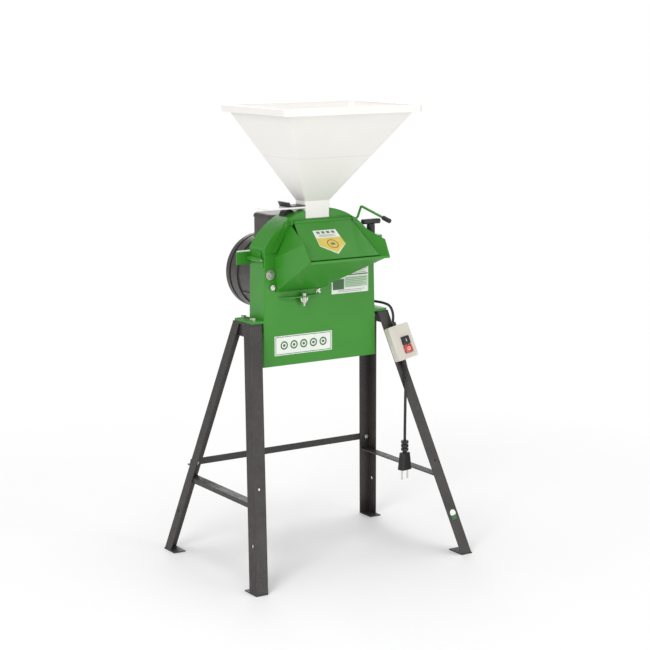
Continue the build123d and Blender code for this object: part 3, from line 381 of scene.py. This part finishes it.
class MILL_OT_cords(bpy.types.Operator):
    """Hangs the mains cord from the switch box down to its plug"""

    bl_idname = "mill.cords"
    bl_label = "Cords"

    def execute(self, context):
        route = [
            (0.2150, -0.1049, 0.4603),
            (0.2174, -0.1095, 0.4473),
            (0.2063, -0.1170, 0.4220),
            (0.2020, -0.1215, 0.3910),
            (0.2006, -0.1230, 0.3510),
            (0.1995, -0.1236, 0.3120),
            (0.1995, -0.1236, 0.2785),
        ]
        cord = cord_curve("mains_cord", route, context.scene.mill_sizes.cord, "rubber")
        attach(cord, "frame")
        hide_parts("power_cord")
        paint_nodes("rubber", "motor_cable")
        paint_nodes("black", "cable_glands plug_body")
        paint_nodes("bright", "plug_pins")
        return {"FINISHED"}


DOME_LIGHT = 0.46
LIGHTS = (
    ("key", (-3.6, -2.6, 2.8), 2.0, 108.0),
    ("fill", (2.0, -4.2, 1.4), 2.4, 44.0),
    ("overhead", (0.3, 0.2, 4.4), 3.6, 80.0),
    ("rim", (1.6, 3.4, 2.2), 2.0, 30.0),
)
LIT_POINT = Vector((0.0, 0.0, 0.65))


class MILL_OT_stage(bpy.types.Operator):
    """Sets up the camera, the soft studio lights and the pale floor"""

    bl_idname = "mill.stage"
    bl_label = "Stage"

    def execute(self, context):
        scene = context.scene
        yaw, pitch, roll = math.radians(-32.66), math.radians(9.95), math.radians(-0.17)
        right = Vector((math.cos(yaw), math.sin(yaw), 0.0))
        up = Vector((-math.sin(yaw) * math.sin(pitch), math.cos(yaw) * math.sin(pitch), math.cos(pitch)))
        side = right * math.cos(roll) + up * math.sin(roll)
        top = up * math.cos(roll) - right * math.sin(roll)
        back = side.cross(top)
        data = bpy.data.cameras.new("camera")
        data.lens = 98.7
        data.sensor_width = 36.0
        data.clip_end = 60.0
        camera = bpy.data.objects.new("camera", data)
        scene.collection.objects.link(camera)
        turn = Matrix((side, top, back)).transposed().to_4x4()
        camera.matrix_world = Matrix.Translation((-2.3198, -3.6842, 1.3379)) @ turn
        scene.camera = camera
        scene.view_settings.view_transform = "Standard"
        world = bpy.data.worlds.new("studio")
        world.use_nodes = True
        tree = world.node_tree
        background = tree.nodes["Background"]
        background.inputs["Color"].default_value = (1.0, 1.0, 1.0, 1.0)
        path = tree.nodes.new("ShaderNodeLightPath")
        strength = spread(tree, path.outputs["Is Camera Ray"], DOME_LIGHT, 1.0, 0.0, 1.0)
        link(tree, strength, background.inputs["Strength"])
        scene.world = world
        for name, place, size, power in LIGHTS:
            lamp = bpy.data.lights.new(name, "AREA")
            lamp.size = size
            lamp.energy = power
            obj = bpy.data.objects.new(name, lamp)
            aim = LIT_POINT - Vector(place)
            obj.matrix_world = Matrix.Translation(place) @ aim.to_track_quat("-Z", "Y").to_matrix().to_4x4()
            scene.collection.objects.link(obj)
        bm = bmesh.new()
        bmesh.ops.create_grid(bm, x_segments=1, y_segments=1, size=14.0)
        mesh = bpy.data.meshes.new("floor")
        bm.to_mesh(mesh)
        bm.free()
        floor = bpy.data.objects.new("floor", mesh)
        mesh.materials.append(pale_floor())
        scene.collection.objects.link(floor)
        return {"FINISHED"}


class MILL_OT_stand(bpy.types.Operator):
    """Paints the legs, rails, braces and their fasteners"""

    bl_idname = "mill.stand"
    bl_label = "Stand"

    def execute(self, context):
        paint_nodes("charcoal", "leg_front_left leg_front_right leg_back_left leg_back_right")
        paint_nodes("charcoal", "top_rails side_braces rear_cross_bar")
        paint_nodes("zinc", "stand_bolts stand_nuts")
        return {"FINISHED"}


class MILL_OT_housing(bpy.types.Operator):
    """Paints the lower housing, the cover and the funnel with their small hardware"""

    bl_idname = "mill.housing"
    bl_label = "Housing"

    def execute(self, context):
        paint_nodes("green", "lower_housing clamp_bracket top_cover feed_funnel feed_flap flap_lever")
        paint_nodes("zinc", "counter_knife_bolts catch_bolt wing_nut panel_clip cover_hinge_pin clamp_screw")
        paint_nodes("steel", "counter_knife screen")
        paint_nodes("black", "lever_tip hopper_support_block")
        return {"FINISHED"}


class MILL_OT_rotor(bpy.types.Operator):
    """Finishes the rotor, its hammers and knives"""

    bl_idname = "mill.rotor"
    bl_label = "Rotor"

    def execute(self, context):
        paint_nodes("steel", "rotor_discs hammer_pins chopping_knives")
        paint_nodes("steel", "hammers_a hammers_b hammers_c hammers_d")
        paint_nodes("zinc", "rotor_nut motor_shaft motor_flange_bolts")
        paint_nodes("bright", "motor_bearings")
        paint_nodes("core", "stator_core motor_rotor_core")
        paint_nodes("black", "cooling_fan")
        return {"FINISHED"}


class MILL_OT_motor(bpy.types.Operator):
    """Paints the motor and its terminal box"""

    bl_idname = "mill.motor"
    bl_label = "Motor"

    def execute(self, context):
        paint_nodes("motor", "motor_endshield stator_shell motor_rear_bell fan_cover")
        paint_nodes("motor", "terminal_box terminal_box_lid")
        return {"FINISHED"}


class MILL_OT_hopper(bpy.types.Operator):
    """Finishes the grain hopper and its slide gate"""

    bl_idname = "mill.hopper"
    bl_label = "Hopper"

    def execute(self, context):
        paint_nodes("white", "grain_hopper")
        paint_nodes("black", "slide_gate")
        return {"FINISHED"}


# radius and height of the knob's stem, from the foot of its bore up
KNOB_STEM = [
    (0.0041, 0.0),
    (0.0098, 0.0),
    (0.0105, 0.0015),
    (0.0105, 0.022),
    (0.0095, 0.0275),
    (0.0041, 0.0275),
]


class MILL_OT_knob(bpy.types.Operator):
    """Models the T-shaped clamp knob"""

    bl_idname = "mill.knob"
    bl_label = "Clamp knob"

    def execute(self, context):
        low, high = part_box("clamp_knob")
        mid = (low + high) / 2
        bm = bmesh.new()
        soft = context.scene.mill_sizes.knob_round
        box(bm, (low.x, mid.y - 0.0078, high.z - 0.0125), (high.x, mid.y + 0.0078, high.z), soft)
        turned(bm, KNOB_STEM, (0, 0, 1), (mid.x, mid.y, low.z), 36)
        put(bm, "t_knob", "black", "clamp", ["clamp_knob"])
        return {"FINISHED"}


class MILL_OT_switch(bpy.types.Operator):
    """Finishes the switch box, its buttons and screws"""

    bl_idname = "mill.switch"
    bl_label = "Switch box"

    def execute(self, context):
        paint_nodes("box", "switch_box_base switch_box_cover")
        paint_nodes("zinc", "switch_box_screws")
        keys = (
            ("start", (7.0, 1.4), "black", "start_key", "black_button_plastic"),
            ("stop", (6.8, -20.6), "stop", "stop_key", "red_button_plastic"),
        )
        for name, (u, v), material, body, slot in keys:
            bm = bmesh.new()
            slab(bm, SWITCH, (u - 11, u + 11), (v - 10, v + 10), (9.0, 23.3), 1.3, 3)
            put(bm, name + "_key_cap", material, body, [name + "_button"])
        bm = bmesh.new()
        slab(bm, SWITCH, (6.3, 7.7), (-2.4, 5.2), (23.25, 23.5))
        put(bm, "start_mark", "label", "start_key")
        bm = bmesh.new()
        disc(bm, SWITCH, 6.8, -20.6, (23.25, 23.5), 4.4, 3.1)
        put(bm, "stop_mark", "label", "stop_key")
        return {"FINISHED"}


LAP = 0.02                     # how far print sinks into what it lies on (mm)
NAME_PLATE = ((-129.5, 30.5), (518.5, 562.5))
PLATE_BORDER = 1.5
FILM_TOP = 1.6                 # face of the caution label above the middle of the flap
CAUTION_FIELD = [(-47.5, -61), (21.3, -61), (22.6, -85), (-14, -114), (-49.5, -86.5)]


def inks(*keys):
    return {key: bmesh.new() for key in keys}


def lay_inks(art, name, body):
    for key, bm in art.items():
        put(bm, name + key, key, body)


def print_instructions(art, skin):
    """Instruction label: a rule, a picture block and rows of plain bars."""
    n = (-LAP, skin)
    slab(art["ink_green"], FRONT, (34.5, 139), (697.5, 700.5), n)
    slab(art["ink_green"], FRONT, (36, 69), (664, 690), n)
    slab(art["plate"], FRONT, (70.5, 139), (668, 694), n)
    lines(art["ink_grey"], FRONT, (73, 136), 692, 6, 4.2, 1.2, (skin - LAP, skin + 0.08), (0, 3, 1, 9, 2, 14))
    lines(art["ink_grey"], FRONT, (52, 134), 662.5, 2, 3.8, 1.1, n, (4, 12))
    lines(art["ink_grey"], FRONT, (60, 138), 713, 3, 4.4, 1.4, n, (0, 8, 3))


def print_name_plate(bm, skin):
    """A green border round a row of ringed dots, with no name on it."""
    n = (-LAP, skin)
    (left, right), (low, high) = NAME_PLATE
    for edge in (left, right - PLATE_BORDER):
        slab(bm, FRONT, (edge, edge + PLATE_BORDER), (low + 0.5, high - 0.5), n)
    for edge in (low, high - PLATE_BORDER):
        slab(bm, FRONT, (left, right), (edge, edge + PLATE_BORDER), n)
    for k in range(5):
        disc(bm, FRONT, -105 + 28 * k, 540.5, n, 10.5, 7.0)
        disc(bm, FRONT, -105 + 28 * k, 540.5, n, 3.5)


def prism(bm, face, corners, n):
    """A flat piece with the given outline on a face."""
    origin, across, up = (Vector(a) for a in face)
    out = across.cross(up)
    low, high = ([bm.verts.new((origin + across * u + up * v + out * height) * MM) for u, v in corners]
                 for height in n)
    bm.faces.new(high)
    bm.faces.new(low[::-1])
    for k, other in enumerate([*range(1, len(corners)), 0]):
        bm.faces.new((low[k], low[other], high[other], high[k]))


def print_caution(art, skin):
    """Caution label: four marks, three rows of bars and a ringed mark on a yellow field."""
    n = (FILM_TOP - LAP, FILM_TOP + LAP + skin)
    over = (n[1] - LAP, n[1] + 0.06)
    for k in range(4):
        slab(art["ink_grey"], FLAP, (-38 + 14 * k, -29 + 14 * k), (-46, -38), n)
    lines(art["ink_grey"], FLAP, (-36, 12), -50, 3, 3.0, 1.0, n, (0, 6, 2))
    prism(art["ink_yellow"], FLAP, CAUTION_FIELD, n)
    disc(art["ink_red"], FLAP, -12, -83, over, 15.0, 12.6)
    slab(art["ink_grey"], FLAP, (-18, -6), (-87, -79), over)


class MILL_OT_labels(bpy.types.Operator):
    """Lays the name plate, the instruction label, the caution label and the leg sticker"""

    bl_idname = "mill.labels"
    bl_label = "Labels"

    def execute(self, context):
        paint_nodes("label", "front_labels warning_label")
        skin = context.scene.mill_sizes.print_skin / MM
        art = inks("plate", "ink_green", "ink_grey")
        print_instructions(art, skin)
        print_name_plate(art["ink_green"], skin)
        lay_inks(art, "front_print_", "frame")
        bm = bmesh.new()
        disc(bm, LEG, 0, 4, (-0.1, 0.3), 8.5)
        put(bm, "leg_sticker", "label", "frame")
        bm = bmesh.new()
        slab(bm, LEG, (-7, 7), (-13, -2), (-0.1, 0.4))
        put(bm, "leg_sticker_foot", "ink_green", "frame")
        art = inks("ink_yellow", "ink_grey", "ink_red")
        print_caution(art, skin)
        lay_inks(art, "flap_print_", "flap")
        return {"FINISHED"}


class MILL_PT_panel(bpy.types.Panel):
    """Lists the mill's pieces and settings"""

    bl_label = "Hammer mill"
    bl_idname = "MILL_PT_panel"
    bl_space_type = "VIEW_3D"
    bl_region_type = "UI"
    bl_category = "Mill"

    def draw(self, context):
        for op in OPERATORS:
            self.layout.operator(op.bl_idname)
        for group in (context.scene.mill_colours, context.scene.mill_sizes):
            for key in group.__annotations__:
                self.layout.prop(group, key)


OPERATORS = (
    MILL_OT_stage,
    MILL_OT_cords,
    MILL_OT_stand,
    MILL_OT_housing,
    MILL_OT_rotor,
    MILL_OT_motor,
    MILL_OT_hopper,
    MILL_OT_knob,
    MILL_OT_switch,
    MILL_OT_labels,
)
CLASSES = (MillColours, MillSizes, *OPERATORS, MILL_PT_panel)


def register():
    for cls in CLASSES:
        bpy.utils.register_class(cls)
    bpy.types.Scene.mill_colours = PointerProperty(type=MillColours)
    bpy.types.Scene.mill_sizes = PointerProperty(type=MillSizes)


def unregister():
    del bpy.types.Scene.mill_sizes
    del bpy.types.Scene.mill_colours
    for cls in reversed(CLASSES):
        bpy.utils.unregister_class(cls)


def main():
    register()
    build_palette(bpy.context.scene.mill_colours)
    for op in OPERATORS:
        group, name = op.bl_idname.split(".")
        getattr(getattr(bpy.ops, group), name)()


if __name__ == "__main__":
    main()
